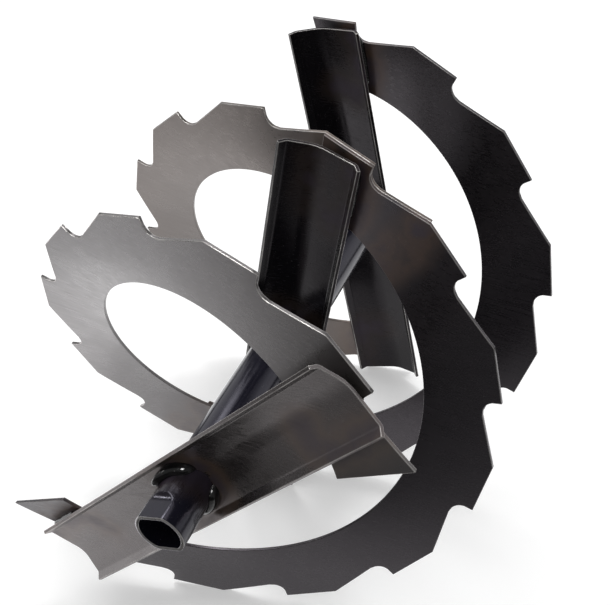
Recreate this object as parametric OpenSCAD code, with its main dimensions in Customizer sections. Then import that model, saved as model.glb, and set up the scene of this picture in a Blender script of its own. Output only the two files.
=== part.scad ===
// Toothed ribbon auger of a two-stage snow blower, one half of the rotor.
// A tube runs along Y through three formed cross arms. Two strands of toothed
// ribbon wind around it, each made of a near and a far flight that lap by one
// tooth at the middle arm. Everything is welded together.
// The origin is the centre of the tube's plain far mouth, on the axis, and the
// auger lies on its side on the ribbon teeth, with +Z up.

/* [Auger] */
// Outside diameter over the teeth
auger_d = 305; // [220:1:380]
// Advance of a flight along the axis in one full turn
pitch = 235; // [190:1:290]
// Radial width of the ribbon at the teeth
ribbon_w = 47; // [32:1:55]
// Thickness of all the sheet metal
sheet_t = 2.3; // [1.5:0.1:3.5]
// Angle at which the right strand starts, from +X towards +Z
start_turn = 33.1; // [20:0.1:45]
// Distance from the flatted mouth to the start of the right strand
start_y = 32.8; // [28:0.1:60]
// How far the left strand falls short of half a turn
left_skew = 1; // [0:0.1:2]
// How far the left strand is set back along the axis
left_set_back = 0.6; // [0:0.1:2]

/* [Teeth] */
// Angle from one tooth to the next
tooth_turn = 29.05; // [26:0.01:32]
// Teeth on each flight
teeth = 8; // [7:1:9]
// Depth of the notch between two teeth
notch_depth = 11.2; // [6:0.1:14]
// Fillet at the foot of a notch
notch_r = 7; // [4:0.1:8]
// Share of a tooth taken by its flat top
top_share = 0.44; // [0.35:0.01:0.5]
// Share of a tooth taken by the slope down into the notch
slope_share = 0.43; // [0.35:0.01:0.45]

/* [Cross arms] */
// Turn from the start of the right strand to the middle line of the front arm
front_arm_in = 19.1; // [15:0.1:24]
// Turn from the middle arm to the end of the near right flight
middle_arm_back = 2.2; // [0:0.1:6]
// Turn from the rear arm to the end of the right strand
rear_arm_back = 5.1; // [0:0.1:10]
// Width of the web between its two folds
web_w = 41; // [30:1:46]
// Depth of the crease along the web
crease_depth = 5; // [2:0.1:7]
// Inner bend radius of the crease
crease_r = 22; // [2:1:30]
// Sideways shift of the crease at each end of an arm
crease_shift = 4.4; // [0:0.1:8]
// Height of the turned edges
lip_h = 4.4; // [3:0.1:12]
// How far the turned edges lean outwards
lip_lean = 3.2; // [0:0.1:5]
// Inner bend radius of the turned edges
bend_r = 2; // [1:0.1:3]
// How far the arm ends stay inside the outside diameter
arm_short = 4.5; // [2:0.1:10]

/* [Tube] */
// Outside diameter of the tube
tube_d = 30; // [26:0.5:36]
// Wall of the tube
tube_wall = 2.3; // [1.5:0.1:3.5]
// Length of tube behind the end of the right strand
tube_tail = 2.8; // [0:0.1:40]
// Length of the two pressed flats at the near mouth
flat_len = 12; // [6:1:24]
// Depth of each pressed flat
flat_depth = 1.9; // [0.5:0.1:2.5]
// Angle of the first flat, from +X towards +Z
flat_turn = 113.6; // [90:0.1:140]
// How far the pressing springs the round parts of the mouth outwards
spring_out = 0.25; // [0.2:0.05:0.6]

/* [Welds] */
// Leg of the fillet welds between tube and arms
tube_weld_leg = 4.5; // [3:0.1:6]
// Run along the tube of the heavy weld in front of the front arm
heavy_weld_run = 7.5; // [3:0.1:9]
// Leg of the fillet welds between arms and flights
seat_weld_leg = 3.5; // [2.5:0.1:5]
// Clear height left between an arm's fold and the ribbon
seat_gap = 0.2; // [0.1:0.05:0.5]

/* [Hidden] */
$fn = 96;

paint_black = [0.10, 0.10, 0.11];
bare_grey = [0.42, 0.41, 0.41];
weld_grey = [0.20, 0.19, 0.19];

outer_r = auger_d / 2;
inner_r = outer_r - ribbon_w;
tube_r = tube_d / 2;
bore_r = tube_r - tube_wall;
half_web = web_w / 2;
arm_half = outer_r - arm_short;
lap_teeth = 1;
flight_turn = teeth * tooth_turn;
far_half_turn = flight_turn - lap_teeth * tooth_turn;
strand_len = pitch * (far_half_turn + flight_turn) / 360;
tube_len = start_y + strand_len + tube_tail;
near_y = -tube_len;

// The ribbon is sheet_t thick square to its face and a little more along the axis
mean_r = (outer_r + inner_r) / 2;
ribbon_t = sheet_t * sqrt(1 + pow(pitch / (2 * PI * mean_r), 2));
web_slope = crease_depth / half_web;
web_t = sheet_t * sqrt(1 + web_slope * web_slope);
// Half the width of the round along the crease, on the far face
crease_reach = (crease_r + sheet_t) * web_slope;

RIGHT = 0;
LEFT = 1;

// Ribbon: strand 0 is the right one and strand 1 the left one, half 0 is near and half 1 far

function strand_turn(strand) = start_turn + strand * (180 - left_skew);
function strand_y(strand) = near_y + start_y - strand * left_set_back;
// Near face of a flight at a turn, counted in the strand's own turns
function near_face_y(strand, half, turn) =
    strand_y(strand) + pitch * (turn - strand_turn(strand)) / 360 - ribbon_t / 2 + half * ribbon_t;

// Outer edge between two points of a straight cut, given as radius and turn
function chord_r(r0, a0, r1, a1, a) =
    r0 * r1 * sin(a1 - a0) / (r0 * sin(a - a0) + r1 * sin(a1 - a));

root_r = outer_r - notch_depth;
slope_turn = slope_share * tooth_turn;
top_turn = top_share * tooth_turn;
notch_turn = tooth_turn - slope_turn - top_turn;
notch_w = notch_turn * PI / 180 * root_r;
fillet_steps = 3;
fillet_end = 75;
edge_steps = 4;

// One tooth, from corner to corner, as turns and radii: slope, notch fillet, flat top
tooth_edge = concat(
    [for (i = [0 : edge_steps])
        let (a = slope_turn * i / edge_steps)
        [a, chord_r(outer_r, 0, root_r, slope_turn, a)]],
    [for (i = [0 : fillet_steps])
        let (k = fillet_end * i / fillet_steps, x = notch_w - notch_r + notch_r * sin(k))
        [slope_turn + notch_turn * x / notch_w, root_r + notch_r * (1 - cos(k))]],
    [for (i = [0 : edge_steps - 1])
        let (a = top_turn * i / edge_steps)
        [tooth_turn - top_turn + a, chord_r(outer_r, 0, outer_r, top_turn, a)]]
);

function flight_edge() = concat(
    [for (k = [0 : teeth - 1]) for (p = tooth_edge) [p[0] + k * tooth_turn, p[1]]],
    [[teeth * tooth_turn, outer_r]]
);

function around(r, turn, y) = [r * cos(turn), y, r * sin(turn)];
function reversed(list) = [for (i = [len(list) - 1 : -1 : 0]) list[i]];

// Faces of a closed skin over stations that each hold the same ring of n points
function skin_faces(stations, n) = concat(
    [for (i = [0 : stations - 2]) for (j = [0 : n - 1])
        let (a = i * n + j, b = i * n + (j + 1) % n, c = a + n, d = b + n)
        each [[a, b, d], [a, d, c]]],
    [for (j = [1 : n - 2]) [0, j + 1, j]],
    [for (j = [1 : n - 2])
        let (base = (stations - 1) * n)
        [base, base + j, base + j + 1]]
);

// The same, for a ring made of an inner and an outer chain of m points each
function strip_faces(stations, m) = concat(
    [for (i = [0 : stations - 2]) for (j = [0 : 2 * m - 1])
        let (n = 2 * m, a = i * n + j, b = i * n + (j + 1) % n, c = a + n, d = b + n)
        each [[a, b, d], [a, d, c]]],
    [for (j = [0 : m - 2])
        let (o = 2 * m - 1 - j)
        each [[j, o, o - 1], [j, o - 1, j + 1]]],
    [for (j = [0 : m - 2])
        let (base = (stations - 1) * 2 * m, a = base + j, o = base + 2 * m - 1 - j)
        each [[a, o - 1, o], [a, a + 1, o - 1]]]
);

// A solid through rings of points, with flip for rings that run the other way round
module skin(rings, flip = false) {
    polyhedron(
        points = [for (ring = rings) each (flip ? reversed(ring) : ring)],
        faces = skin_faces(len(rings), len(rings[0])),
        convexity = 10
    );
}

module ribbon_flight(strand, half) {
    from = strand_turn(strand) + half * far_half_turn;
    skin([for (p = flight_edge())
        let (turn = from + p[0], y = near_face_y(strand, half, turn))
        [
            around(inner_r, turn, y),
            around(inner_r, turn, y + ribbon_t),
            around(p[1], turn, y + ribbon_t),
            around(p[1], turn, y)
        ]]);
}

// Cross arm, drawn along X with its width along Z and its crease towards +Y

arm_stations = 15;
bend_steps = 4;
crease_steps = 4;

function unit(v) = v / norm(v);
function turned(v, a) = [v[0] * cos(a) - v[1] * sin(a), v[0] * sin(a) + v[1] * cos(a)];

// Pairs of inner and outer points round the corner b of the path a, b, c, which bends to the right
function bend_pairs(a, b, c, r, t, steps) =
    let (
        d0 = unit(b - a),
        d1 = unit(c - b),
        turn = acos(min(1, d0 * d1)),
        reach = r * tan(turn / 2),
        out0 = [-d0[1], d0[0]],
        centre = b - d0 * reach - out0 * r
    )
    [for (i = [0 : steps])
        let (o = turned(out0, -turn * i / steps))
        [centre + o * r, centre + o * (r + t)]];

function end_pair(p, q, t) =
    let (d = unit(q - p), out = [-d[1], d[0]])
    [p, p + out * t];

// Section of an arm at x, as pairs of points [z, y] on the near and the far surface
function arm_pairs(x) =
    let (
        p0 = [-half_web - lip_lean, -lip_h],
        p1 = [-half_web, 0],
        p2 = [crease_shift * x / arm_half, crease_depth],
        p3 = [half_web, 0],
        p4 = [half_web + lip_lean, -lip_h],
        last = end_pair(p3, p4, sheet_t)
    )
    concat(
        [end_pair(p0, p1, sheet_t)],
        bend_pairs(p0, p1, p2, bend_r, sheet_t, bend_steps),
        bend_pairs(p1, p2, p3, crease_r, sheet_t, crease_steps),
        bend_pairs(p2, p3, p4, bend_r, sheet_t, bend_steps),
        [[p4, p4 + (last[1] - last[0])]]
    );

// Depth of the web's near surface at a place on the arm, outside the round of the crease
function web_depth(x, z) =
    let (c = crease_shift * x / arm_half)
    z > c ? crease_depth * (half_web - z) / (half_web - c)
          : crease_depth * (half_web + z) / (half_web + c);

// Turn of the right strand at each arm; the left strand meets the arm's other end
arm_turns = [
    start_turn + front_arm_in,
    start_turn + flight_turn - middle_arm_back,
    start_turn + far_half_turn + flight_turn - rear_arm_back
];
// The half of the strands that each arm carries first
halves = [0, 0, 1];
// Fall of the ribbon from the arm's middle line to its fold, at the ribbon's inner edge
fold_fall = pitch * atan(half_web / inner_r) / 360;
function arm_y(i) =
    min(near_face_y(RIGHT, halves[i], arm_turns[i]), near_face_y(LEFT, halves[i], arm_turns[i] + 180))
    - fold_fall - web_t - seat_gap;

module along_arm(i) {
    translate([0, arm_y(i), 0])
        rotate([0, -arm_turns[i], 0])
            children();
}

module along_y(r, y0, y1) {
    translate([0, y0, 0])
        rotate([-90, 0, 0])
            cylinder(r = r, h = y1 - y0);
}

// Where the tube passes an arm, its welds included
module tube_room(i) {
    along_y(tube_r, arm_y(i) - web_w, arm_y(i) + web_w);
}

module cross_arm(i) {
    pairs_m = len(arm_pairs(0));
    points = [for (k = [0 : arm_stations - 1])
        let (x = arm_half * (2 * k / (arm_stations - 1) - 1), pairs = arm_pairs(x))
        each concat(
            [for (j = [0 : pairs_m - 1]) [x, pairs[j][0][1], pairs[j][0][0]]],
            [for (j = [pairs_m - 1 : -1 : 0]) [x, pairs[j][1][1], pairs[j][1][0]]]
        )];
    difference() {
        along_arm(i)
            polyhedron(points = points, faces = strip_faces(arm_stations, pairs_m), convexity = 6);
        tube_room(i);
    }
}

// Tube with two pressed flats at its near mouth

flat_x = tube_r - flat_depth;
// Radius of the bend that brings each flat back up to the round tube
ramp_r = 9;
// Length over which the inside of that bend meets the bore
ramp_reach = sqrt(pow(ramp_r + tube_wall, 2) - pow(ramp_r + flat_x - bore_r, 2));
// Length of the tube that the pressing changes; behind it the bore is plain
press_len = flat_len + ramp_reach;

// Room over one flat, or under it when grow is the wall: a slab and the round ramp at its end
module flat_room(grow) {
    rotate([0, -flat_turn, 0]) {
        translate([flat_x - grow, near_y - 1, -tube_d])
            cube([tube_r, flat_len + 1, 2 * tube_d]);
        translate([flat_x + ramp_r, near_y + flat_len, -tube_d])
            cylinder(r = ramp_r + grow, h = 2 * tube_d);
    }
}

module both_flats(grow) {
    flat_room(grow);
    rotate([0, 180, 0])
        flat_room(grow);
}

// Round tube whose mouth is sprung outwards over the length of the flats
module sprung_tube() {
    rotate([-90, 0, 0])
        rotate_extrude()
            polygon([
                [bore_r + spring_out, near_y],
                [tube_r + spring_out, near_y],
                [tube_r + spring_out, near_y + flat_len],
                [tube_r, near_y + press_len],
                [tube_r, 0],
                [bore_r, 0],
                [bore_r, near_y + press_len],
                [bore_r + spring_out, near_y + flat_len]
            ]);
}

module shaft_tube() {
    color(paint_black)
        difference() {
            union() {
                sprung_tube();
                intersection() {
                    along_y(bore_r + tube_wall / 2, near_y, near_y + press_len);
                    both_flats(tube_wall);
                }
            }
            both_flats(0);
        }
}

// Welds between tube and arm: two arcs on one face of the web, clear of the crease

// Hair gap between a bead and the face that it is laid on
touch = 0.04;
arc_steps = 12;
arc_from = asin((crease_reach + crease_shift * tube_r / arm_half) / tube_r);
arc_to = 180 - arc_from;
root_cut = 1;
// Height of a bead at its ends, as a share of the height at its middle
end_share = 0.55;
// Nearest that a bead's toe comes to the line of a fold
fold_keep = bend_r / 2;

// Leg of a bead on the web at a turn, which ends short of the fold where the web is narrow
function web_leg(a, taper) = min(tube_weld_leg * taper, (half_web - fold_keep) / abs(sin(a)) - tube_r);

// One arc, whose legs lie on the web and, for a length run, along the tube
module tube_weld_arc(side, from, to, run) {
    lift = side > 0 ? web_t : 0;
    skin([for (k = [0 : arc_steps])
        let (
            a = from + (to - from) * k / arc_steps,
            taper = end_share + (1 - end_share) * sin(180 * k / arc_steps),
            g = web_leg(a, taper),
            h = run * taper,
            ring = [
                [tube_r - root_cut, touch],
                [tube_r + g, touch],
                [tube_r + 0.68 * g, 0.62 * h],
                [tube_r + 0.2 * g, 0.98 * h],
                [tube_r - root_cut, h]
            ]
        )
        [for (p = ring)
            let (x = p[0] * cos(a), z = p[0] * sin(a))
            [x, lift + web_depth(x, z) + side * p[1], z]]], flip = side > 0);
}

module tube_weld(i, side, run = tube_weld_leg) {
    difference() {
        along_arm(i) {
            tube_weld_arc(side, arc_from, arc_to, run);
            tube_weld_arc(side, arc_from + 180, arc_to + 180, run);
        }
        tube_room(i);
    }
}

// Welds between an arm's end and the ribbon behind it, drawn along +X before turning.
// One bead runs along the fold and one along the ribbon's inner edge.

bead_stations = 7;
// How far a bead along the fold keeps inside the ribbon's inner edge and the arm's end
fold_bead_in = 3;
fold_bead_out = 6;
// How far a bead along the ribbon's inner edge keeps off the fold
inner_bead_in = 4;
// How far the bead's belly stands proud of the line from fold to foot
fold_belly = [-0.6, -0.4];

// Near face of the ribbon over a place on an arm's end, from the arm's own zero
function seat_y(i, strand, x, z) =
    near_face_y(strand, halves[i], arm_turns[i] + 180 * strand + atan2(z, x)) - arm_y(i);

module fold_bead(i, strand) {
    x0 = inner_r + fold_bead_in;
    x1 = arm_half - fold_bead_out;
    skin([for (k = [0 : bead_stations - 1])
        let (
            x = x0 + (x1 - x0) * k / (bead_stations - 1),
            pairs = arm_pairs(x),
            fold = [for (j = [1 : bend_steps + 1]) pairs[j][1]],
            foot = [fold[0][0] - seat_weld_leg, seat_y(i, strand, x, fold[0][0] - seat_weld_leg) - touch],
            root = [fold[bend_steps][0], seat_y(i, strand, x, fold[bend_steps][0]) - touch],
            belly = (foot + fold[0]) / 2 + fold_belly
        )
        [for (p = concat([belly, foot, root], reversed(fold))) [x, p[1], p[0]]]], flip = true);
}

module inner_bead(i, strand) {
    z0 = -half_web + inner_bead_in;
    z1 = crease_shift * inner_r / arm_half - crease_reach;
    skin([for (k = [0 : bead_stations - 1])
        let (
            z = z0 + (z1 - z0) * k / (bead_stations - 1),
            x = sqrt(inner_r * inner_r - z * z),
            floor_y = web_t + web_depth(x, z) + touch,
            top_y = seat_y(i, strand, x, z) + 0.8 * ribbon_t
        )
        [
            [x - seat_weld_leg, floor_y, z],
            [x - 2 * touch, floor_y, z],
            [x - 2 * touch, top_y, z],
            [x - 0.6 * seat_weld_leg, floor_y + 0.7 * (top_y - floor_y), z]
        ]], flip = true);
}

module seat_weld(i, strand) {
    along_arm(i)
        rotate([0, -180 * strand, 0]) {
            fold_bead(i, strand);
            inner_bead(i, strand);
        }
}

// Welds where two flights lap: one at the end of the near flight, one at the start of the far one

lap_leg = ribbon_t * 0.85;
lap_in = 4;
lap_out = 9;
// Turn left clear between a bead and the cut end that it is laid against
lap_clear = 0.02;

module lap_bead(strand, turn, step, face_y, side) {
    skin([for (k = [0 : bead_stations - 1])
        let (
            r = inner_r + lap_in + (ribbon_w - lap_in - lap_out) * k / (bead_stations - 1),
            wide = lap_leg / r * 180 / PI,
            belly = 0.6 * wide
        )
        [
            around(r, turn + step * lap_clear, face_y + side * touch),
            around(r, turn + step * (wide + lap_clear), face_y + pitch * step * wide / 360 + side * touch),
            around(r, turn + step * belly, face_y + pitch * step * belly / 360 + side * 0.7 * lap_leg),
            around(r, turn + step * lap_clear, face_y + side * lap_leg)
        ]], flip = step * side < 0);
}

module lap_weld(strand) {
    near_end = strand_turn(strand) + flight_turn;
    far_start = strand_turn(strand) + far_half_turn;
    lap_bead(strand, near_end, 1, near_face_y(strand, 1, near_end), -1);
    lap_bead(strand, far_start, -1, near_face_y(strand, 1, far_start), 1);
}

shaft_tube();
color(bare_grey) cross_arm(0);  // front_arm
color(paint_black) cross_arm(1);  // middle_arm
color(paint_black) cross_arm(2);  // rear_arm
color(bare_grey) ribbon_flight(RIGHT, 0);  // front_right_flight
color(paint_black) ribbon_flight(LEFT, 0);  // front_left_flight
color(paint_black) ribbon_flight(RIGHT, 1);  // rear_right_flight
color(bare_grey) ribbon_flight(LEFT, 1);  // rear_left_flight
color(weld_grey) tube_weld(0, -1, heavy_weld_run);  // front_arm_near_tube_weld
color(weld_grey) tube_weld(0, 1);  // front_arm_far_tube_weld
color(weld_grey) tube_weld(1, -1);  // middle_arm_near_tube_weld
color(weld_grey) tube_weld(1, 1);  // middle_arm_far_tube_weld
color(weld_grey) tube_weld(2, -1);  // rear_arm_near_tube_weld
color(weld_grey) tube_weld(2, 1);  // rear_arm_far_tube_weld
color(weld_grey) seat_weld(0, RIGHT);  // front_right_seat_weld
color(weld_grey) seat_weld(0, LEFT);  // front_left_seat_weld
color(weld_grey) seat_weld(1, RIGHT);  // middle_right_seat_weld
color(weld_grey) seat_weld(1, LEFT);  // middle_left_seat_weld
color(weld_grey) seat_weld(2, RIGHT);  // rear_right_seat_weld
color(weld_grey) seat_weld(2, LEFT);  // rear_left_seat_weld
color(weld_grey) lap_weld(RIGHT);  // right_lap_weld
color(weld_grey) lap_weld(LEFT);  // left_lap_weld
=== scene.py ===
"""Looks of a toothed ribbon auger for a snow blower.

Every piece is rebuilt as a fine mesh in the place of its CAD node, from the same driving sizes.
Lengths are in millimetres until a mesh is written, and in metres from then on.
"""
import math

import bmesh
import bpy
from mathutils import Matrix, Vector, kdtree, noise


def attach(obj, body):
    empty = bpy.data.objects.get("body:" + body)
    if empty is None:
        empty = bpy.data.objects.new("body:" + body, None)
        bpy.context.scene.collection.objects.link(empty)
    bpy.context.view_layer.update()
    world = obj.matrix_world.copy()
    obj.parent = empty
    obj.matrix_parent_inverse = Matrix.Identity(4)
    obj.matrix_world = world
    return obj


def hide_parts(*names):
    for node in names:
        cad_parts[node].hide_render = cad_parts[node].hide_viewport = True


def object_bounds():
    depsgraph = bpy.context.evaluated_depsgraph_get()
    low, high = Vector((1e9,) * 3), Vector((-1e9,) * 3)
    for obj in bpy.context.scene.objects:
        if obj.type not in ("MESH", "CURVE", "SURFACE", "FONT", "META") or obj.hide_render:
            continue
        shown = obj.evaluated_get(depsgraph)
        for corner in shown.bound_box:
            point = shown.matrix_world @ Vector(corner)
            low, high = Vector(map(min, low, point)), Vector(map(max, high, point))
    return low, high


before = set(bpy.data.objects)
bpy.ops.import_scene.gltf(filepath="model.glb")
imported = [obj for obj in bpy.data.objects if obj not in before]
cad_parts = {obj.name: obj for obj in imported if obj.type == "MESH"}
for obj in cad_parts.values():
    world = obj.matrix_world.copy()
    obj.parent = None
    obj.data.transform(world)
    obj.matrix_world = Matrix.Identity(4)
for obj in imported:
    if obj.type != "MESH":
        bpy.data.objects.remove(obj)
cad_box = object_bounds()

MM = 0.001

# Sizes of the auger, as its construction has them

AUGER_R = 152.5
PITCH = 235.0
RIBBON_W = 47.0
SHEET_T = 2.3
START_TURN = 33.1
START_Y = 32.8
LEFT_SKEW = 1.0
LEFT_SET_BACK = 0.6
TOOTH_TURN = 29.05
TEETH = 8
LAP_TEETH = 1
NOTCH_DEPTH = 11.2
NOTCH_R = 7.0
TOP_SHARE = 0.44
SLOPE_SHARE = 0.43
FRONT_ARM_IN = 19.1
MIDDLE_ARM_BACK = 2.2
REAR_ARM_BACK = 5.1
WEB_W = 41.0
CREASE_DEPTH = 5.0
CREASE_R = 22.0
CREASE_SHIFT = 4.4
LIP_H = 4.4
LIP_LEAN = 3.2
BEND_R = 2.0
ARM_SHORT = 4.5
TUBE_R = 15.0
TUBE_WALL = 2.3
TUBE_TAIL = 2.8
FLAT_LEN = 12.0
FLAT_DEPTH = 1.9
FLAT_TURN = 113.6
SPRING_OUT = 0.25
RAMP_R = 9.0
SEAT_GAP = 0.2
TUBE_WELD_LEG = 4.5
HEAVY_WELD_RUN = 7.5
SEAT_WELD_LEG = 3.5

INNER_R = AUGER_R - RIBBON_W
ROOT_R = AUGER_R - NOTCH_DEPTH
ARM_HALF = AUGER_R - ARM_SHORT
HALF_WEB = WEB_W / 2
BORE_R = TUBE_R - TUBE_WALL
FLIGHT_TURN = TEETH * TOOTH_TURN
FAR_HALF_TURN = FLIGHT_TURN - LAP_TEETH * TOOTH_TURN
TUBE_LEN = START_Y + PITCH * (FAR_HALF_TURN + FLIGHT_TURN) / 360 + TUBE_TAIL
NEAR_Y = -TUBE_LEN
MEAN_R = (AUGER_R + INNER_R) / 2
RIBBON_T = SHEET_T * math.hypot(1, PITCH / (2 * math.pi * MEAN_R))
WEB_SLOPE = CREASE_DEPTH / HALF_WEB
WEB_T = SHEET_T * math.hypot(1, WEB_SLOPE)
CREASE_REACH = (CREASE_R + SHEET_T) * WEB_SLOPE

RIGHT, LEFT = 0, 1
FLIGHTS = {
    "front_right_flight": (RIGHT, 0),
    "front_left_flight": (LEFT, 0),
    "rear_right_flight": (RIGHT, 1),
    "rear_left_flight": (LEFT, 1),
}
ARM_TURNS = {
    "front_arm": START_TURN + FRONT_ARM_IN,
    "middle_arm": START_TURN + FLIGHT_TURN - MIDDLE_ARM_BACK,
    "rear_arm": START_TURN + FAR_HALF_TURN + FLIGHT_TURN - REAR_ARM_BACK,
}
ARM_HALVES = {"front_arm": 0, "middle_arm": 0, "rear_arm": 1}


def cosd(a):
    return math.cos(math.radians(a))


def sind(a):
    return math.sin(math.radians(a))


def clamp(value, low=0.0, high=1.0):
    return max(low, min(high, value))


def around(r, turn, y):
    return Vector((r * cosd(turn), y, r * sind(turn)))


def strand_turn(strand):
    return START_TURN + strand * (180 - LEFT_SKEW)


def near_face_y(strand, half, turn):
    """Near face of a flight at a turn, counted in the strand's own turns."""
    start = NEAR_Y + START_Y - strand * LEFT_SET_BACK
    return start + PITCH * (turn - strand_turn(strand)) / 360 - RIBBON_T / 2 + half * RIBBON_T


def arm_y(arm):
    """Near surface of an arm at its folds."""
    half, turn = ARM_HALVES[arm], ARM_TURNS[arm]
    fold_fall = PITCH * math.degrees(math.atan2(HALF_WEB, INNER_R)) / 360
    lowest = min(near_face_y(RIGHT, half, turn), near_face_y(LEFT, half, turn + 180))
    return lowest - fold_fall - WEB_T - SEAT_GAP


def along_arm(arm, strand=RIGHT):
    """Turns an arm's own frame (long in X, wide in Z) into the auger's, from either end."""
    turn = math.radians(-ARM_TURNS[arm] - 180 * strand)
    return Matrix.Translation((0, arm_y(arm), 0)) @ Matrix.Rotation(turn, 4, "Y")


# Mesh building

def add_object(name, mesh, node, material):
    """Puts a finished mesh in the scene. It stands for a CAD node and rides on the one body."""
    obj = bpy.data.objects.new(name, mesh)
    bpy.context.scene.collection.objects.link(obj)
    mesh.materials.append(material)
    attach(obj, "root")
    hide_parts(node)
    return obj


def add_skin(bm, rings, closed=False):
    """Quads over rings of points in millimetres, each an out and a back chain of equal count.

    The ends are closed across the two chains, or the last ring joins the first."""
    rows = [[bm.verts.new(p * MM) for p in ring] for ring in rings]
    n = len(rows[0])
    following = rows[1:] + rows[:1] if closed else rows[1:]
    for a, b in zip(rows, following):
        for j in range(n):
            k = (j + 1) % n
            bm.faces.new((a[j], a[k], b[k], b[j]))
    if not closed:
        for row in (rows[0], rows[-1]):
            for j in range(n // 2 - 1):
                bm.faces.new((row[j], row[j + 1], row[n - 2 - j], row[n - 1 - j]))


def skin_mesh(name, ring_groups, closed=False):
    bm = bmesh.new()
    for rings in ring_groups:
        add_skin(bm, rings, closed)
    bmesh.ops.recalc_face_normals(bm, faces=bm.faces)
    mesh = bpy.data.meshes.new(name)
    bm.to_mesh(mesh)
    bm.free()
    mesh.shade_smooth()
    return mesh


# Least angle between two faces that meet at a sheared edge
SHEARED_ANGLE = 35
# Room round the tube in which an arm's edges are those of its hole
HOLE_ROOM = 1.0
# Share of an edge's length that runs along the axis when the edge goes straight across a rim
STRAIGHT_ACROSS = 0.999
BEVEL_SEGMENTS = 2


def mark_sheared(mesh):
    """Marks the sheared edges for the bevel.

    The edges of the hole under the welds and the short ones straight across a ribbon's rim stay sharp."""
    bm = bmesh.new()
    bm.from_mesh(mesh)
    weight = bm.edges.layers.float.new("bevel_weight_edge")
    for edge in bm.edges:
        in_hole = any(math.hypot(v.co.x, v.co.z) < (TUBE_R + HOLE_ROOM) * MM for v in edge.verts)
        run = edge.verts[1].co - edge.verts[0].co
        across = abs(run.y) > STRAIGHT_ACROSS * run.length
        if not in_hole and not across and edge.calc_face_angle(0) > math.radians(SHEARED_ANGLE):
            edge[weight] = 1.0
    bm.to_mesh(mesh)
    bm.free()


def soften(obj, width, worn_material):
    """Rounds the sheared edges a little and shows the worn coat on the rounding."""
    mark_sheared(obj.data)
    obj.data.materials.append(worn_material)
    bevel = obj.modifiers.new("edges", "BEVEL")
    bevel.width = width * MM
    bevel.segments = BEVEL_SEGMENTS
    bevel.limit_method = "WEIGHT"
    bevel.use_clamp_overlap = False
    bevel.harden_normals = True
    bevel.miter_outer = "MITER_ARC"
    bevel.material = 1


def paint(mesh, attribute, value_at):
    """Stores a number at each point, worked out from its place in millimetres."""
    layer = mesh.attributes.new(attribute, "FLOAT", "POINT")
    layer.data.foreach_set("value", [value_at(v.co / MM) for v in mesh.vertices])


# Nodes of the materials

NOISE_ROUGHNESS = 0.55


def feed(tree, socket, value):
    """Links a socket to the output of another node, or sets its number or colour."""
    if isinstance(value, bpy.types.NodeSocket):
        tree.links.new(value, socket)
    else:
        socket.default_value = value


def math_node(tree, operation, a, b):
    node = tree.nodes.new("ShaderNodeMath")
    node.operation = operation
    feed(tree, node.inputs[0], a)
    feed(tree, node.inputs[1], b)
    return node.outputs[0]


def map_range(tree, value, start, end, to_start, to_end, easing="LINEAR"):
    """Maps start to end onto to_start to to_end, and stops there."""
    node = tree.nodes.new("ShaderNodeMapRange")
    node.interpolation_type = easing
    tree.links.new(value, node.inputs["Value"])
    for key, number in (("From Min", start), ("From Max", end), ("To Min", to_start), ("To Max", to_end)):
        node.inputs[key].default_value = number
    return node.outputs["Result"]


class Nodes:
    """Short calls for the nodes of one coat."""

    def __init__(self, name):
        self.material = bpy.data.materials.new(name)
        self.material.use_nodes = True
        self.tree = self.material.node_tree
        self.shader = self.tree.nodes["Principled BSDF"]
        self.place = self.tree.nodes.new("ShaderNodeTexCoord").outputs["Object"]

    def feed_all(self, node, inputs):
        """Feeds sockets by name, with a low line for each space in the name."""
        for key, value in inputs.items():
            feed(self.tree, node.inputs[key.replace("_", " ")], value)

    def add(self, kind, **inputs):
        node = self.tree.nodes.new("ShaderNode" + kind)
        self.feed_all(node, inputs)
        return node

    def shade(self, **inputs):
        """Feeds sockets of the coat's shader."""
        self.feed_all(self.shader, inputs)

    def noise(self, scale, detail=3.0, stretch=None, distortion=0.0):
        """Noise from 0 to 1. The scale counts features in a metre."""
        place = self.place
        if stretch:
            place = self.add("Mapping", Vector=place, Scale=stretch).outputs["Vector"]
        look = {"Scale": scale, "Detail": detail, "Roughness": NOISE_ROUGHNESS, "Distortion": distortion}
        return self.add("TexNoise", Vector=place, **look).outputs["Fac"]

    def span(self, value, low, high, to_low=0.0, to_high=1.0):
        return map_range(self.tree, value, low, high, to_low, to_high)

    def math(self, operation, a, b):
        return math_node(self.tree, operation, a, b)

    def blend(self, factor, a, b):
        """Mixes colour a towards colour b."""
        node = self.tree.nodes.new("ShaderNodeMix")
        node.data_type = "RGBA"
        feed(self.tree, node.inputs[0], factor)
        colour_sockets = [s for s in node.inputs if s.type == "RGBA"]
        for socket, colour in zip(colour_sockets, (a, b)):
            feed(self.tree, socket, (*colour, 1.0) if isinstance(colour, tuple) else colour)
        return next(s for s in node.outputs if s.type == "RGBA")

    def attribute(self, name):
        node = self.tree.nodes.new("ShaderNodeAttribute")
        node.attribute_name = name
        return node.outputs["Fac"]

    def bump(self, height, distance, strength, below=None):
        node = self.add("Bump", Height=height, Strength=strength, Distance=distance)
        if below is not None:
            self.tree.links.new(below, node.inputs["Normal"])
        return node.outputs["Normal"]


# Coats, among them lit and shaded copies of the one black coat

BARE_STEEL = (0.62, 0.60, 0.58)
STRAW_TINT = (0.15, 0.088, 0.048)
VIOLET_TINT = (0.030, 0.022, 0.034)
DUST = (0.16, 0.155, 0.15)
WELD_DEEP = (0.005, 0.005, 0.006)
WELD_PALE = (0.016, 0.015, 0.015)

# Features in a metre of the patterns in a coat over sheet or tube
CLOUDS = 14
TINT_PATCHES = 55
SPECKS = 900
BARE_PATCHES = 45
SMEARS = 32
PEEL = 700
WAVES = 26
# Features in a metre of the patterns in a coat over a weld
SOOT = 120
SPATTER = 650
GLOSS_PATCHES = 210
GRAIN = 520
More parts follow.
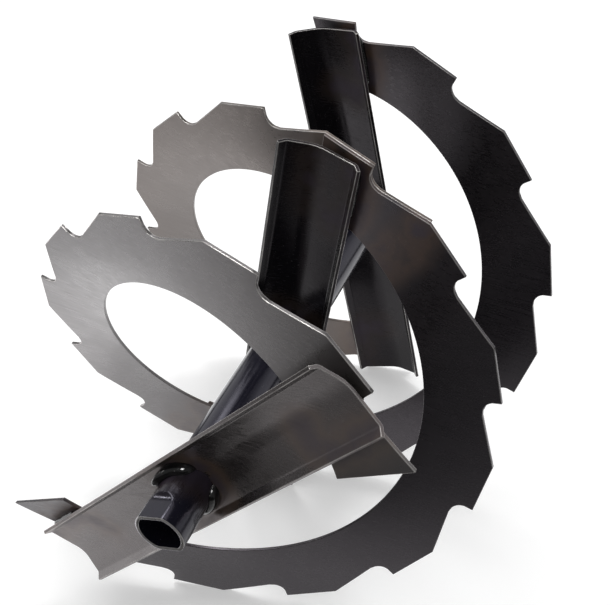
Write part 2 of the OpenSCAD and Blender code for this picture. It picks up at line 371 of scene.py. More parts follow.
# Brush strokes' features in a metre along X, Y and Z
BRUSH_ACROSS = (26, 900, 900)
BRUSH_LENGTHWAYS = (700, 18, 700)
# Heights of the bumps in metres
PEEL_H = 0.00003
BRUSH_H = 0.00002
WAVE_H = 0.0003
GRAIN_H = 0.00008
# Share of a tint, or of bare steel, that is left between its patches
LEAST_PATCH = 0.35
# Full strength of the violet tint, the specks, the spatter and the bare steel
VIOLET_SHARE = 0.8
SPECK_SHARE = 0.20
SPATTER_SHARE = 0.4
BARE_METALLIC = 0.85
# Roughness that full heat adds
HEAT_ROUGHENS = 0.22
WELD_COAT_WEIGHT = 0.6
WELD_COAT_ROUGHNESS = 0.08


def coated_steel(name, deep, pale, roughness, ior, brush, tint, scorch, wear=0.0):
    """Thin semi-gloss coat on steel, cloudy and finely brushed.

    scorch is the share of straw tint near the welds, and wear that of bare steel on worn edges."""
    m = Nodes(name)
    clouds = m.span(m.noise(CLOUDS, detail=4, distortion=0.6), 0.32, 0.68)
    colour = m.blend(clouds, deep, pale)

    tint_patches = m.span(m.noise(TINT_PATCHES, detail=4), 0.3, 0.6, LEAST_PATCH, 1.0)
    heat = m.math("MULTIPLY", m.attribute("weld_heat"), tint_patches)
    colour = m.blend(m.span(heat, 0.08, 0.45, 0.0, scorch), colour, STRAW_TINT)
    colour = m.blend(m.span(heat, 0.50, 0.90, 0.0, VIOLET_SHARE), colour, VIOLET_TINT)

    specks = m.span(m.noise(SPECKS, detail=2), 0.66, 0.74, 0.0, SPECK_SHARE)
    colour = m.blend(specks, colour, DUST)

    if wear:
        bare_patches = m.span(m.noise(BARE_PATCHES), 0.36, 0.60, LEAST_PATCH * wear, wear)
        bare = m.math("MULTIPLY", m.attribute("rim"), bare_patches)
        colour = m.blend(bare, colour, BARE_STEEL)
        m.shade(Metallic=m.math("MULTIPLY", bare, BARE_METALLIC))

    strokes = m.noise(1.0, stretch=brush)
    smears = m.noise(SMEARS, detail=4, distortion=1.2)
    smeared = m.span(smears, 0.3, 0.7, roughness - 0.03, roughness + 0.05)
    stroked = m.span(strokes, 0.3, 0.7, -0.05, 0.07)
    rough = m.math("ADD", m.math("ADD", smeared, stroked), m.math("MULTIPLY", heat, HEAT_ROUGHENS))

    peel = m.bump(m.noise(PEEL, detail=2), PEEL_H, 0.5)
    brushed = m.bump(strokes, BRUSH_H, 0.35, peel)
    waves = m.bump(m.noise(WAVES, detail=1.5), WAVE_H, 0.5, brushed)
    m.shade(Base_Color=colour, Roughness=rough, Normal=waves, IOR=ior, Specular_Tint=(*tint, 1))
    return m.material


def coated_weld(name):
    """Glossy coat over a bead, with soot in patches and small bright spatter."""
    m = Nodes(name)
    soot = m.span(m.noise(SOOT), 0.35, 0.65)
    spatter = m.span(m.noise(SPATTER, detail=1.5), 0.72, 0.76, 0.0, SPATTER_SHARE)
    colour = m.blend(spatter, m.blend(soot, WELD_DEEP, WELD_PALE), BARE_STEEL)
    rough = m.span(m.noise(GLOSS_PATCHES), 0.3, 0.7, 0.12, 0.26)
    grain = m.bump(m.noise(GRAIN), GRAIN_H, 0.5)
    m.shade(Base_Color=colour, Roughness=rough, Normal=grain)
    m.shade(Coat_Weight=WELD_COAT_WEIGHT, Coat_Roughness=WELD_COAT_ROUGHNESS)
    return m.material


def coat_pair(name, wear, **look):
    """The plain coat and its worn twin."""
    return coated_steel(name, **look), coated_steel(name + "_worn", **look, wear=wear)


# Casts of the light that each coat throws back
PLAIN = (1.0, 0.95, 0.97)
WARM = (1.0, 0.87, 0.82)
SOFT_WARM = (1.0, 0.91, 0.92)
PLUM = (1.0, 0.91, 1.0)
BLUE = (0.86, 0.84, 1.0)

# Lit copy of the black ribbon coat: its paler colour and stronger reflection are painted light
LIT_RIBBON_COAT = coat_pair(
    "lit_ribbon_coat", wear=1.0, deep=(0.016, 0.0145, 0.0135), pale=(0.030, 0.027, 0.025),
    roughness=0.29, ior=2.15, brush=BRUSH_ACROSS, tint=PLAIN, scorch=0.3,
)
# Lit copy of the black ribbon coat with a warm cast: its paler colour and stronger reflection are painted
# light
LIT_WARM_RIBBON_COAT = coat_pair(
    "lit_warm_ribbon_coat", wear=0.9, deep=(0.016, 0.0145, 0.0135), pale=(0.030, 0.026, 0.023),
    roughness=0.29, ior=1.98, brush=BRUSH_ACROSS, tint=WARM, scorch=0.25,
)
BLACK_COAT = coat_pair(
    "black_ribbon_coat", wear=0.4, deep=(0.006, 0.0052, 0.006), pale=(0.012, 0.0108, 0.0125),
    roughness=0.27, ior=1.65, brush=BRUSH_ACROSS, tint=PLUM, scorch=0.33,
)
# Lit copy of the black coat for the front arm: its paler colour and stronger reflection are painted light
LIT_FRONT_ARM_COAT = coat_pair(
    "lit_front_arm_coat", wear=0.8, deep=(0.013, 0.0115, 0.0115), pale=(0.026, 0.0225, 0.0215),
    roughness=0.23, ior=2.15, brush=BRUSH_ACROSS, tint=SOFT_WARM, scorch=0.3,
)
# Shaded copy of the black coat for the middle and rear arms: its darker colour and weaker reflection are
# painted shade
ARM_COAT = coat_pair(
    "arm_coat", wear=0.65, deep=(0.003, 0.0027, 0.0035), pale=(0.006, 0.0054, 0.0067),
    roughness=0.20, ior=1.3, brush=BRUSH_ACROSS, tint=PLUM, scorch=0.07,
)
TUBE_COAT = coated_steel(
    "tube_coat", wear=1.0, deep=(0.004, 0.004, 0.008), pale=(0.010, 0.0095, 0.016),
    roughness=0.17, ior=1.5, brush=BRUSH_LENGTHWAYS, tint=BLUE, scorch=0.08,
)
WELD_COAT = coated_weld("weld_coat")


# Weld beads. A station of a bead is the corner that it fills and its two toes.

BEAD_STEP = 0.35
LEAST_STEPS = 8
BEAD_ARC = 9
RIPPLE_PITCH = 1.9
RIPPLE_H = 0.16
# Share of a ripple's pitch by which its crest leads in the middle of the bead
RIPPLE_LEAD = 0.55
BELLY = 0.22
LUMPINESS = 0.10
# Bends of the lumps in a millimetre of bead
LUMP_RATE = 0.16
# Parts the noise of beads with different seeds
SEED_STEP = 7.3
# Share of a ripple's pitch by which a lump shifts it, and share of its height at which it starts
LUMP_SHIFT = 0.2
RIPPLE_FOOT = 0.6
# How far the root lies in the corner, and how wide it is as a share of the way to each toe
ROOT_IN = 0.5
ROOT_SPREAD = 0.3
# Share of the bead's length over which an end rounds off, and the least size of the end squared
END_SHARE = 0.16
END_SIZE_SQUARED = 0.09
# The heavy weld ran fluid and set as a smooth bead, which is swollen to a blob on the upper side
HEAVY_RIPPLE = 0.04
SWELL_AT = 0.62
SWELL_LENGTH = 0.20
SWELL_BELLY = 0.40
SWELL_RUN = 0.35
weld_places = []


def swollen(share):
    """How far the heavy weld is swollen at a share of its length, from 0 to 1."""
    return math.exp(-(((share - SWELL_AT) / SWELL_LENGTH) ** 2))


def bead_rings(station_at, length, seed, ripple=RIPPLE_H, swell=0.0):
    """Rings of a rippled bead. station_at gives (corner, toe, toe) for a share of its length."""
    count = max(LEAST_STEPS, round(length / BEAD_STEP))
    rings = []
    for i in range(count + 1):
        share = i / count
        corner, toe_a, toe_b = station_at(share)
        from_end = min(share, 1 - share) / END_SHARE
        size = math.sqrt(clamp(1 - (1 - min(from_end, 1)) ** 2, END_SIZE_SQUARED, 1))
        s = share * length
        lump = noise.noise(Vector((s * LUMP_RATE, seed * SEED_STEP, 0.5)))
        a = corner + (toe_a - corner) * size * (1 + LUMPINESS * lump)
        b = corner + (toe_b - corner) * size * (1 - LUMPINESS * lump)
        across = b - a
        middle = (a + b) / 2
        out = (middle - corner).normalized()
        belly = BELLY + swell * swollen(share)
        ring = []
        for j in range(BEAD_ARC + 1):
            t = j / BEAD_ARC
            arch = 4 * t * (1 - t)
            crest = abs(math.sin(math.pi * (s / RIPPLE_PITCH - RIPPLE_LEAD * arch + LUMP_SHIFT * lump)))
            lift = across.length * belly * arch + ripple * size * (crest - RIPPLE_FOOT) * math.sqrt(arch)
            ring.append(a + across * t + out * lift)
        root = corner - out * ROOT_IN
        ring.append(root + (b - corner) * ROOT_SPREAD)
        ring.append(root + (a - corner) * ROOT_SPREAD)
        rings.append(ring)
        weld_places.append(middle)
    return rings


def add_bead(node, ring_groups):
    mesh = skin_mesh(node + "_bead", ring_groups)
    return add_object(node + "_bead", mesh, node, WELD_COAT)


def web_depth(x, z):
    """Depth of the web's near surface at a place on the arm, with the crease rounded."""
    crease = CREASE_SHIFT * x / ARM_HALF
    beside = abs(z - crease)
    side_w = HALF_WEB - crease if z > crease else HALF_WEB + crease
    depth = CREASE_DEPTH * (1 - beside / side_w)
    reach = CREASE_R * WEB_SLOPE
    if beside < reach:
        depth -= (reach - beside) ** 2 / (2 * CREASE_R)
    return depth


# Turn from an arm's middle line at which the arcs of its tube welds start
ARC_FROM = math.degrees(math.asin((CREASE_REACH + CREASE_SHIFT * TUBE_R / ARM_HALF) / TUBE_R))
ARC_TURN = 180 - 2 * ARC_FROM
# Share of its leg that a tube weld keeps at its ends
END_LEG = 0.82


def tube_weld(arm, side_name, side, run):
    """Two arcs of fillet weld round the tube, on the near face of an arm (side -1) or the far one (1)."""
    node = f"{arm}_{side_name}_tube_weld"
    place = along_arm(arm)
    lift = WEB_T if side > 0 else 0
    heavy = run > TUBE_WELD_LEG
    groups = []
    for start in (0, 180):
        blob = heavy and start == 0

        def station(share, start=start, blob=blob):
            turn = start + ARC_FROM + ARC_TURN * share
            leg = TUBE_WELD_LEG * (END_LEG + (1 - END_LEG) * math.sin(math.pi * share))

            def on_web(r, off=0.0):
                x, z = r * cosd(turn), r * sind(turn)
                return place @ Vector((x, lift + web_depth(x, z) + side * off, z))

            reach = run * leg / TUBE_WELD_LEG * (1 + blob * SWELL_RUN * swollen(share))
            return on_web(TUBE_R), on_web(TUBE_R + leg), on_web(TUBE_R, reach)

        length = math.radians(ARC_TURN) * TUBE_R
        ripple = HEAVY_RIPPLE if heavy else RIPPLE_H
        groups.append(bead_rings(station, length, start + arm_y(arm), ripple, blob * SWELL_BELLY))
    add_bead(node, groups)


# Room at the ends of the bead along the fold, and at the start of the one along the ribbon's inner edge
FOLD_BEAD_IN = 3.0
FOLD_BEAD_OUT = 6.0
INNER_BEAD_IN = 4.0
# The fold bead's line outside the web, as a share of the sheet, and its corner and toe about that line
FOLD_OUT = 0.6
FOLD_CORNER_IN = 0.5
FOLD_TOE_OUT = 0.9
FOLD_TOE_UP = 0.3
# Share of the ribbon's rim that the inner bead climbs
INNER_CLIMB = 0.8


def seat_weld(arm, end_name, strand):
    """Beads that join an arm's end to its ribbon, along the fold and along the ribbon's inner edge."""
    node = f"{arm.split('_')[0]}_{end_name}_seat_weld"
    place = along_arm(arm, strand)

    def seat_y(x, z):
        turn = ARM_TURNS[arm] + 180 * strand + math.degrees(math.atan2(z, x))
        return near_face_y(strand, ARM_HALVES[arm], turn) - arm_y(arm)

    fold_z = -HALF_WEB - FOLD_OUT * SHEET_T
    x0, x1 = INNER_R + FOLD_BEAD_IN, ARM_HALF - FOLD_BEAD_OUT

    def fold_station(share):
        x = x0 + (x1 - x0) * share
        floor = seat_y(x, fold_z)
        on_fold = Vector((x, FOLD_TOE_UP, fold_z - FOLD_TOE_OUT))
        on_ribbon = Vector((x, seat_y(x, fold_z - SEAT_WELD_LEG), fold_z - SEAT_WELD_LEG))
        corner = Vector((x, floor, fold_z + FOLD_CORNER_IN))
        return place @ corner, place @ on_fold, place @ on_ribbon

    z0 = -HALF_WEB + INNER_BEAD_IN
    z1 = CREASE_SHIFT * INNER_R / ARM_HALF - CREASE_REACH

    def inner_station(share):
        z = z0 + (z1 - z0) * share
        x = math.sqrt(INNER_R * INNER_R - z * z)
        floor = WEB_T + web_depth(x, z)
        top = seat_y(x, z) + INNER_CLIMB * RIBBON_T
        on_web = Vector((x - SEAT_WELD_LEG, floor, z))
        return place @ Vector((x, floor, z)), place @ on_web, place @ Vector((x, top, z))

    seed = arm_y(arm) + strand
    add_bead(node, [bead_rings(fold_station, x1 - x0, seed), bead_rings(inner_station, z1 - z0, seed + 3)])


LAP_LEG = 0.85 * RIBBON_T
# Room at the inner and the outer end of a lap bead
LAP_IN = 4.0
LAP_OUT = 9.0


def lap_weld(node, strand):
    """Two beads where the near and the far flight of a strand lap."""
    groups = []
    near_end = strand_turn(strand) + FLIGHT_TURN
    far_start = strand_turn(strand) + FAR_HALF_TURN
    for turn, step, side in ((near_end, 1, -1), (far_start, -1, 1)):
        face_y = near_face_y(strand, 1, turn)

        def station(share, turn=turn, step=step, side=side, face_y=face_y):
            r = INNER_R + LAP_IN + (RIBBON_W - LAP_IN - LAP_OUT) * share
            wide = step * math.degrees(LAP_LEG / r)
            on_face = around(r, turn + wide, face_y + PITCH * wide / 360)
            return around(r, turn, face_y), on_face, around(r, turn, face_y + side * LAP_LEG)

        groups.append(bead_rings(station, RIBBON_W - LAP_IN - LAP_OUT, turn))
    add_bead(node, groups)


for arm in ARM_TURNS:
    tube_weld(arm, "near", -1, HEAVY_WELD_RUN if arm == "front_arm" else TUBE_WELD_LEG)
    tube_weld(arm, "far", 1, TUBE_WELD_LEG)
    seat_weld(arm, "right", RIGHT)
    seat_weld(arm, "left", LEFT)
lap_weld("right_lap_weld", RIGHT)
lap_weld("left_lap_weld", LEFT)

weld_tree = kdtree.KDTree(len(weld_places))
for index, weld_place in enumerate(weld_places):
    weld_tree.insert(weld_place, index)
weld_tree.balance()

HEAT_REACH = 14.0


def heat_at(place):
    """How strongly the welding has tinted the steel at a place, from 0 to 1."""
    distance = weld_tree.find(place)[2]
    return math.exp(-((distance / HEAT_REACH) ** 2))


# Ribbon flights

SLOPE_STEPS = 10
FILLET_STEPS = 7
FILLET_END = 75
TOP_STEPS = 9
ACROSS_STEPS = 6
# Distance of the first row of points from a sheared edge
EDGE_ROW = 0.45
# Width of the rounding of a sheared edge
EDGE_SOFT = 0.4
# Share of the wear that shows at the ribbon's inner edge
WORN_INSIDE = 0.1


def chord_r(r0, r1, span, a):
    """Radius on the straight cut from r0 to r1 over a span of turn, at a within it."""
    return r0 * r1 * sind(span) / (r0 * sind(a) + r1 * sind(span - a))


def tooth_edge():
    """One tooth as (turn, radius): the long slope, the notch's fillet and the top."""
    slope = SLOPE_SHARE * TOOTH_TURN
    top = TOP_SHARE * TOOTH_TURN
    notch = TOOTH_TURN - slope - top
    notch_w = math.radians(notch) * ROOT_R
    points = []
    for i in range(SLOPE_STEPS + 1):
        a = slope * i / SLOPE_STEPS
        points.append((a, chord_r(AUGER_R, ROOT_R, slope, a)))
    for i in range(1, FILLET_STEPS + 1):
        k = FILLET_END * i / FILLET_STEPS
        x = notch_w - NOTCH_R + NOTCH_R * sind(k)
        points.append((slope + notch * x / notch_w, ROOT_R + NOTCH_R * (1 - cosd(k))))
    for i in range(TOP_STEPS):
        a = top * i / TOP_STEPS
        points.append((TOOTH_TURN - top + a, chord_r(AUGER_R, AUGER_R, top, a)))
    return points


def flight_edge():
    """The rim of a flight, with a row of points beside each cut end."""
    worn = math.degrees(EDGE_ROW / INNER_R)
    edge = [(a + k * TOOTH_TURN, r) for k in range(TEETH) for a, r in tooth_edge()]
    edge.insert(1, (worn, edge[0][1] + (edge[1][1] - edge[0][1]) * worn / edge[1][0]))
    edge.append((FLIGHT_TURN - worn, AUGER_R))
    edge.append((FLIGHT_TURN, AUGER_R))
    return edge


def row_depths(edge):
    """Depth under each point of a rim at which the next row lies EDGE_ROW away, square to the rim."""
    steep = [abs(r1 - r0) / (r0 * math.radians(a1 - a0)) for (a0, r0), (a1, r1) in zip(edge, edge[1:])]
    return [EDGE_ROW * math.hypot(1, max(pair)) for pair in zip(steep[:1] + steep, steep + steep[-1:])]


def flight(node, strand, half, coats):
    start = strand_turn(strand) + half * FAR_HALF_TURN
    rings, rims = [], []
    edge = flight_edge()
    for (a, outer), depth in zip(edge, row_depths(edge)):
        turn = start + a
        y = near_face_y(strand, half, turn)
        inside, outside = INNER_R + EDGE_ROW, outer - depth
        steps = [INNER_R]
        steps += [inside + (outside - inside) * k / ACROSS_STEPS for k in range(ACROSS_STEPS + 1)]
        steps.append(outer)
        rim = [WORN_INSIDE] * 2 + [1.0] * (len(steps) - 2)
        ring = [around(r, turn, y) for r in steps]
        ring += [around(r, turn, y + RIBBON_T) for r in reversed(steps)]
        rings.append(ring)
        rims += rim + rim[::-1]
    mesh = skin_mesh(node, [rings])
    mesh.attributes.new("rim", "FLOAT", "POINT").data.foreach_set("value", rims)
    paint(mesh, "weld_heat", heat_at)
    soften(add_object(node + "_sheet", mesh, node, coats[0]), EDGE_SOFT, coats[1])


# Cross arms

ARM_STATIONS = 61
BEND_STEPS = 8
CREASE_STEPS = 10
WEB_SHARES = (0.125, 0.25, 0.375, 0.5, 0.625, 0.75, 0.875)
LIP_SHARES = (0.11, 0.4, 0.7)
HOLE_SIDES = 128


def bend(a, b, c, radius, steps):
    """Near and far points round the corner b of the path a, b, c, which bends to the right."""
    d0, d1 = (b - a).normalized(), (c - b).normalized()
    turn = math.acos(min(1, d0.dot(d1)))
    out = Vector((-d0.y, d0.x))
    centre = b - d0 * radius * math.tan(turn / 2) - out * radius
    pairs = []
    for i in range(steps + 1):
        k = -turn * i / steps
        o = Vector((out.x * math.cos(k) - out.y * math.sin(k), out.x * math.sin(k) + out.y * math.cos(k)))
        pairs.append((centre + o * radius, centre + o * (radius + SHEET_T)))
    return pairs


def arm_pairs(x):
    """Section of an arm at x, as near and far points (z, y), with flat stretches divided."""
    p = [
        Vector((-HALF_WEB - LIP_LEAN, -LIP_H)),
        Vector((-HALF_WEB, 0)),
        Vector((CREASE_SHIFT * x / ARM_HALF, CREASE_DEPTH)),
        Vector((HALF_WEB, 0)),
        Vector((HALF_WEB + LIP_LEAN, -LIP_H)),
    ]
    first, last = (p[1] - p[0]).normalized(), (p[4] - p[3]).normalized()
    corners = [
        [(p[0], p[0] + Vector((-first.y, first.x)) * SHEET_T)],
        bend(p[0], p[1], p[2], BEND_R, BEND_STEPS),
        bend(p[1], p[2], p[3], CREASE_R, CREASE_STEPS),
        bend(p[2], p[3], p[4], BEND_R, BEND_STEPS),
        [(p[4], p[4] + Vector((-last.y, last.x)) * SHEET_T)],
    ]
    pairs = list(corners[0])
    shares = (LIP_SHARES, WEB_SHARES, WEB_SHARES, [1 - share for share in reversed(LIP_SHARES)])
    for before, after, between in zip(corners, corners[1:], shares):
        pairs += [tuple(a.lerp(b, s) for a, b in zip(before[-1], after[0])) for s in between]
        pairs += after
    return pairs


# Length of the cutter, in metres
CUTTER_LEN = 0.1


def cut_hole(obj):
    """Cuts the tube's way out of an arm and drops the cutter."""
    bpy.ops.mesh.primitive_cylinder_add(vertices=HOLE_SIDES, radius=TUBE_R * MM, depth=CUTTER_LEN)
    cutter = bpy.context.object
    cutter.rotation_euler = (math.pi / 2, 0, 0)
    cutter.location = (0, sum(v.co.y for v in obj.data.vertices) / len(obj.data.vertices), 0)
    cut = obj.modifiers.new("hole", "BOOLEAN")
    cut.operation = "DIFFERENCE"
    cut.solver = "EXACT"
    cut.object = cutter
    graph = bpy.context.evaluated_depsgraph_get()
    mesh = bpy.data.meshes.new_from_object(obj.evaluated_get(graph))
    obj.modifiers.remove(cut)
    obj.data = mesh
    bpy.data.objects.remove(cutter)


def cross_arm(arm, coats):
    """An arm with its hole. Its edges are not worn beside the tube."""
    place = along_arm(arm)
    stations = [ARM_HALF * (2 * k / (ARM_STATIONS - 1) - 1) for k in range(ARM_STATIONS)]
    stations = sorted(stations + [EDGE_ROW - ARM_HALF, ARM_HALF - EDGE_ROW])
    rings, rims = [], []
    for x in stations:
        pairs = arm_pairs(x)
        near = [place @ Vector((x, q[0].y, q[0].x)) for q in pairs]
        far = [place @ Vector((x, q[1].y, q[1].x)) for q in reversed(pairs)]
        rings.append(near + far)
        rims += [0.0 if abs(x) < HALF_WEB else 1.0] * len(near + far)
    mesh = skin_mesh(arm, [rings])
    mesh.attributes.new("rim", "FLOAT", "POINT").data.foreach_set("value", rims)
    paint(mesh, "weld_heat", heat_at)
    obj = add_object(arm + "_sheet", mesh, arm, coats[0])
    cut_hole(obj)
    soften(obj, EDGE_SOFT, coats[1])


# Tube

TUBE_SIDES = 192
PRESS_STEPS = 44
PLAIN_STEPS = 48
EDGE_ROUND = 0.35
FLAT_BLEND = 0.45

FLAT_X = TUBE_R - FLAT_DEPTH
RAMP_REACH = math.sqrt((RAMP_R + TUBE_WALL) ** 2 - (RAMP_R + FLAT_X - BORE_R) ** 2)
PRESS_LEN = FLAT_LEN + RAMP_REACH
# Plain tube past the pressed part that still has the close rows
PRESS_MARGIN = 2.0
# Least cosine of the turn from a flat's middle at which the flat is looked for
FLAT_SIDE = 0.5


def sprung(y):
    """How far the round parts of the mouth are sprung out, at y."""
    past = y - NEAR_Y
    return SPRING_OUT * clamp((PRESS_LEN - past) / (PRESS_LEN - FLAT_LEN))


def flat_height(y, wall):
    """Distance of a pressed flat from the axis at y, on the outside or, with the wall, inside."""
    past = y - NEAR_Y - FLAT_LEN
    if past <= 0:
        return FLAT_X - wall
    room = (RAMP_R + wall) ** 2 - past * past
    return FLAT_X + RAMP_R - math.sqrt(room) if room > 0 else TUBE_R * 2


def soft_min(a, b, k):
    """The lesser of a and b, rounded off where they differ by less than k."""
    h = clamp(0.5 + 0.5 * (b - a) / k)
    return b + (a - b) * h - k * h * (1 - h)


def tube_ring(y, wall, inset):
    ring = []
    for i in range(TUBE_SIDES):
        turn = 360 * i / TUBE_SIDES
        r = TUBE_R - wall + sprung(y)
        slant = abs(cosd(turn - FLAT_TURN))
        if slant > FLAT_SIDE:
            r = soft_min(r, flat_height(y, wall) / slant, FLAT_BLEND)
        ring.append(around(r + (inset if wall else -inset), turn, y))
    return ring


def shaft_tube():
    first, plain, last = NEAR_Y + EDGE_ROUND, NEAR_Y + PRESS_LEN + PRESS_MARGIN, -EDGE_ROUND
    ys = [first + (plain - first) * i / PRESS_STEPS for i in range(PRESS_STEPS)]
    ys += [plain + (last - plain) * i / PLAIN_STEPS for i in range(PLAIN_STEPS + 1)]
    ease = EDGE_ROUND * (1 - math.sqrt(0.5))
    near_edge = [(NEAR_Y, EDGE_ROUND), (NEAR_Y + ease, ease)]
    far_edge = [(-ease, ease), (0.0, EDGE_ROUND)]
    outer = near_edge + [(y, 0.0) for y in ys] + far_edge
    path = [(y, 0.0, inset) for y, inset in outer]
    path += [(y, TUBE_WALL, inset) for y, inset in reversed(outer)]
    mesh = skin_mesh("shaft_tube", [[tube_ring(*step) for step in path]], closed=True)
    rims = [1.0 if inset > 0 else 0.0 for _, _, inset in path for _ in range(TUBE_SIDES)]
    mesh.attributes.new("rim", "FLOAT", "POINT").data.foreach_set("value", rims)
    paint(mesh, "weld_heat", heat_at)
    add_object("shaft_tube_wall", mesh, "shaft_tube", TUBE_COAT)


FLIGHT_COATS = {
    "front_right_flight": LIT_RIBBON_COAT,
    "front_left_flight": BLACK_COAT,
    "rear_right_flight": BLACK_COAT,
    "rear_left_flight": LIT_WARM_RIBBON_COAT,
}
ARM_COATS = {"front_arm": LIT_FRONT_ARM_COAT, "middle_arm": ARM_COAT, "rear_arm": ARM_COAT}

for node, (strand, half) in FLIGHTS.items():
    flight(node, strand, half, FLIGHT_COATS[node])
for arm in ARM_TURNS:
    cross_arm(arm, ARM_COATS[arm])
shaft_tube()


# Floor, backdrop and light

FLOOR_Z = cad_box[0][2]
FLOOR_SIZE = 6.0
FLOOR_WHITE = 0.75
# What the floor shows besides the light that falls on it, to the camera and in reflections
SEEN_GLOW = 0.315
MIRRORED_GLOW = 0.58
# The lit part of the floor fades out towards the camera's side, between these places across the fade
POOL_FROM = 0.12
POOL_TO = 0.66
POOL_SLANT = 0.45
POOL_REST = 0.12
# The lit part also ends this far out to either side
POOL_SIDE_FROM = 0.42
POOL_SIDE_TO = 0.72
# Oval patches of the floor that the camera doesn't see itself, a bright one in reflections and a dark one:
# centre, half length, half width, turn and added strength
GLARE = ((-0.225, -0.205), 0.085, 0.085, 0, 0.7)
SHADE = ((-0.05, -0.42), 0.13, 0.055, 45, -0.85)
# How far a patch fades from its rim, as a share of its half width
PATCH_FADE = 0.5
WORLD_FILL = 0.55
# The world in reflections: a dim room, and a pale backdrop low behind the object
ROOM_MIRRORED = 0.15
BACKDROP_MIRRORED = 1.0
# The backdrop comes up between these directions along Y
BACKDROP_FROM = 0.25
BACKDROP_TO = 0.6
# It fades to this share of itself between these directions along Z
BACKDROP_LOW = 0.35
BACKDROP_HIGH = 0.7
BACKDROP_REST = 0.3


def ray_kinds(tree):
    """1 for camera rays, and 1 for rays in reflections and through glass."""
    path = tree.nodes.new("ShaderNodeLightPath")
    mirrored = math_node(tree, "MAXIMUM", path.outputs["Is Glossy Ray"], path.outputs["Is Transmission Ray"])
    return path.outputs["Is Camera Ray"], mirrored


def fade_between(tree, value, start, end, to_start, to_end):
    return map_range(tree, value, start, end, to_start, to_end, "SMOOTHSTEP")


def pool_mask(tree):
    """1 on the lit part of the floor, 0 in the dark around it."""
    split = tree.nodes.new("ShaderNodeSeparateXYZ")
    tree.links.new(tree.nodes.new("ShaderNodeTexCoord").outputs["Object"], split.inputs[0])
    slant = math_node(tree, "MULTIPLY", split.outputs["X"], POOL_SLANT)
    across = math_node(tree, "SUBTRACT", slant, split.outputs["Y"])
    near = fade_between(tree, across, POOL_FROM, POOL_TO, 1.0, POOL_REST)
    off_middle = math_node(tree, "ABSOLUTE", split.outputs["X"], 0.0)
    beside = fade_between(tree, off_middle, POOL_SIDE_FROM, POOL_SIDE_TO, 1.0, POOL_REST)
    return math_node(tree, "MULTIPLY", near, beside)


def patch(tree, centre, half_length, half_width, turn, strength):
    """Soft oval on the floor: its strength in the middle, 0 outside it."""
    place = tree.nodes.new("ShaderNodeTexCoord").outputs["Object"]
    mapping = tree.nodes.new("ShaderNodeMapping")
    mapping.vector_type = "TEXTURE"
    mapping.inputs["Location"].default_value = (*centre, FLOOR_Z)
    mapping.inputs["Rotation"].default_value = (0, 0, math.radians(turn))
    mapping.inputs["Scale"].default_value = (half_length, half_width, 1)
    tree.links.new(place, mapping.inputs["Vector"])
    oval = tree.nodes.new("ShaderNodeTexGradient")
    oval.gradient_type = "SPHERICAL"
    tree.links.new(mapping.outputs["Vector"], oval.inputs["Vector"])
    return fade_between(tree, oval.outputs["Fac"], 0.0, PATCH_FADE, 0.0, strength)


def floor_material():
    m = bpy.data.materials.new("white_floor")
    m.use_nodes = True
    tree = m.node_tree
    tree.nodes.clear()
    from_camera, mirrored = ray_kinds(tree)
    shaded = math_node(tree, "ADD", pool_mask(tree), patch(tree, *SHADE))
    lit = math_node(tree, "MAXIMUM", from_camera, shaded)
    white = math_node(tree, "MULTIPLY", lit, FLOOR_WHITE)
    diffuse = tree.nodes.new("ShaderNodeBsdfDiffuse")
    tree.links.new(white, diffuse.inputs["Color"])
    seen = math_node(tree, "MULTIPLY", from_camera, SEEN_GLOW)
    glare = math_node(tree, "ADD", patch(tree, *GLARE), MIRRORED_GLOW)
    in_mirror = math_node(tree, "MULTIPLY", mirrored, glare)
    glow = tree.nodes.new("ShaderNodeEmission")
    strength = math_node(tree, "MULTIPLY", lit, math_node(tree, "ADD", seen, in_mirror))
    tree.links.new(strength, glow.inputs["Strength"])
    both = tree.nodes.new("ShaderNodeAddShader")
    tree.links.new(diffuse.outputs[0], both.inputs[0])
    tree.links.new(glow.outputs[0], both.inputs[1])
    out = tree.nodes.new("ShaderNodeOutputMaterial")
    tree.links.new(both.outputs[0], out.inputs["Surface"])
    return m


def add_floor():
    mesh = bpy.data.meshes.new("floor")
    half = FLOOR_SIZE / 2
    corners = [(half * x, half * y, FLOOR_Z) for x, y in ((-1, -1), (1, -1), (1, 1), (-1, 1))]
    mesh.from_pydata(corners, [], [(0, 1, 2, 3)])
    mesh.materials.append(floor_material())
    floor = bpy.data.objects.new("floor", mesh)
    bpy.context.scene.collection.objects.link(floor)


def add_world():
    """White to the camera, a dim room with a pale backdrop in reflections, even light on matt surfaces."""
    world = bpy.data.worlds.new("studio")
    bpy.context.scene.world = world
    world.use_nodes = True
    tree = world.node_tree
    background = tree.nodes["Background"]
    background.inputs["Color"].default_value = (1, 1, 1, 1)
    from_camera, mirrored = ray_kinds(tree)
    way = tree.nodes.new("ShaderNodeSeparateXYZ")
    tree.links.new(tree.nodes.new("ShaderNodeTexCoord").outputs["Generated"], way.inputs[0])
    rise = BACKDROP_MIRRORED - ROOM_MIRRORED
    behind = fade_between(tree, way.outputs["Y"], BACKDROP_FROM, BACKDROP_TO, 0.0, rise)
    low = fade_between(tree, way.outputs["Z"], BACKDROP_LOW, BACKDROP_HIGH, 1.0, BACKDROP_REST)
    in_mirror = math_node(tree, "ADD", math_node(tree, "MULTIPLY", behind, low), ROOM_MIRRORED - WORLD_FILL)
    to_camera = math_node(tree, "MULTIPLY", from_camera, 1 - WORLD_FILL)
    strength = math_node(tree, "ADD", to_camera, math_node(tree, "MULTIPLY", mirrored, in_mirror))
    tree.links.new(math_node(tree, "ADD", strength, WORLD_FILL), background.inputs["Strength"])


def add_softbox(name, at, aim, size, watts):
    light = bpy.data.lights.new(name, "AREA")
    light.shape = "RECTANGLE"
    light.size, light.size_y = size
    light.energy = watts
    lamp = bpy.data.objects.new(name, light)
    bpy.context.scene.collection.objects.link(lamp)
    toward = Vector(aim) - Vector(at)
    lamp.matrix_world = Matrix.Translation(at) @ toward.to_track_quat("-Z", "Y").to_matrix().to_4x4()


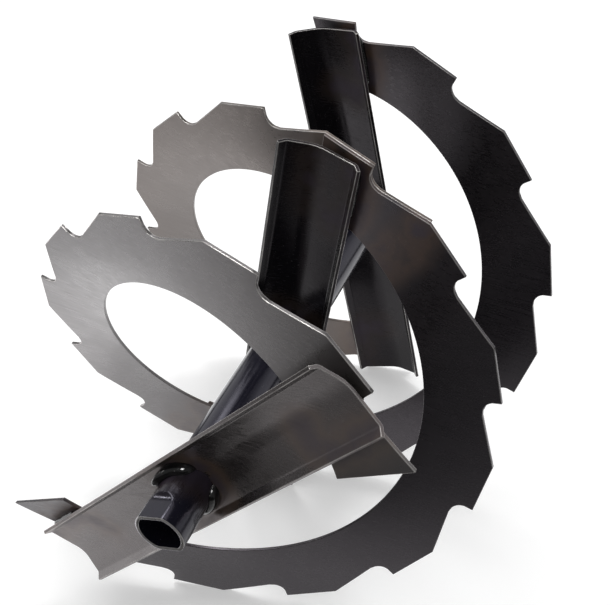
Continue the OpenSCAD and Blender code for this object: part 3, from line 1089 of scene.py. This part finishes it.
def add_sun(name, toward, strength, spread):
    """Even light over the whole floor, from a direction, with soft shadows."""
    light = bpy.data.lights.new(name, "SUN")
    light.energy = strength
    light.angle = math.radians(spread)
    lamp = bpy.data.objects.new(name, light)
    bpy.context.scene.collection.objects.link(lamp)
    lamp.rotation_euler = Vector(toward).to_track_quat("-Z", "Y").to_euler()


def add_card(name, corners, glow):
    """Studio card, black or glowing, that shows only in reflections."""
    mesh = bpy.data.meshes.new(name)
    mesh.from_pydata(corners, [], [(0, 1, 2, 3)])
    m = bpy.data.materials.new(name)
    m.use_nodes = True
    shader = m.node_tree.nodes["Principled BSDF"]
    shader.inputs["Base Color"].default_value = (0.005, 0.005, 0.005, 1)
    shader.inputs["Roughness"].default_value = 1.0
    shader.inputs["Specular IOR Level"].default_value = 0.0
    shader.inputs["Emission Color"].default_value = (1, 1, 1, 1)
    shader.inputs["Emission Strength"].default_value = glow
    mesh.materials.append(m)
    card = bpy.data.objects.new(name, mesh)
    bpy.context.scene.collection.objects.link(card)
    card.visible_camera = False
    card.visible_shadow = False
    card.visible_diffuse = False


add_floor()
add_world()
add_sun("key", toward=(0.45, -0.3, -0.85), strength=1.4, spread=40)
add_softbox("spark", at=(-0.35, 0.35, 1.3), aim=(0, -0.15, 0), size=(0.22, 0.22), watts=4)
add_softbox("side_spark", at=(-1.15, -0.15, 0.6), aim=(0, -0.3, 0), size=(0.12, 0.10), watts=0.8)
add_card(
    "front_flag", glow=0,
    corners=[(-1.6, -0.95, FLOOR_Z), (1.6, -0.95, FLOOR_Z), (1.6, -1.15, 0.5), (-1.6, -1.15, 0.5)],
)
add_card(
    "overhead_card", glow=14,
    corners=[(-0.45, -0.9, 1.2), (0.05, -0.9, 1.2), (0.05, -0.6, 1.3), (-0.45, -0.6, 1.3)],
)


# Camera

CAMERA_AT = Vector((197.97, -614.42, 491.74)) * MM
CAMERA_FORWARD = Vector((-0.28504, 0.6764, -0.67907))
CAMERA_ROLL = 1.4
PHOTO_W, PHOTO_H = 610, 605
FOCAL_PX = 1083.85
CENTRE_X, CENTRE_Y = 290.16, 308.23
SENSOR_W = 36

camera_data = bpy.data.cameras.new("camera")
camera_data.sensor_fit = "HORIZONTAL"
camera_data.sensor_width = SENSOR_W
camera_data.lens = FOCAL_PX * SENSOR_W / PHOTO_W
camera_data.shift_x = (PHOTO_W / 2 - CENTRE_X) / PHOTO_W
camera_data.shift_y = (CENTRE_Y - PHOTO_H / 2) / PHOTO_W
camera_data.clip_start = 0.01
camera = bpy.data.objects.new("camera", camera_data)
bpy.context.scene.collection.objects.link(camera)
look = CAMERA_FORWARD.to_track_quat("-Z", "Y").to_matrix().to_4x4()
roll = Matrix.Rotation(math.radians(CAMERA_ROLL), 4, "Z")
camera.matrix_world = Matrix.Translation(CAMERA_AT) @ look @ roll
bpy.context.scene.camera = camera
bpy.context.scene.view_settings.view_transform = "Standard"
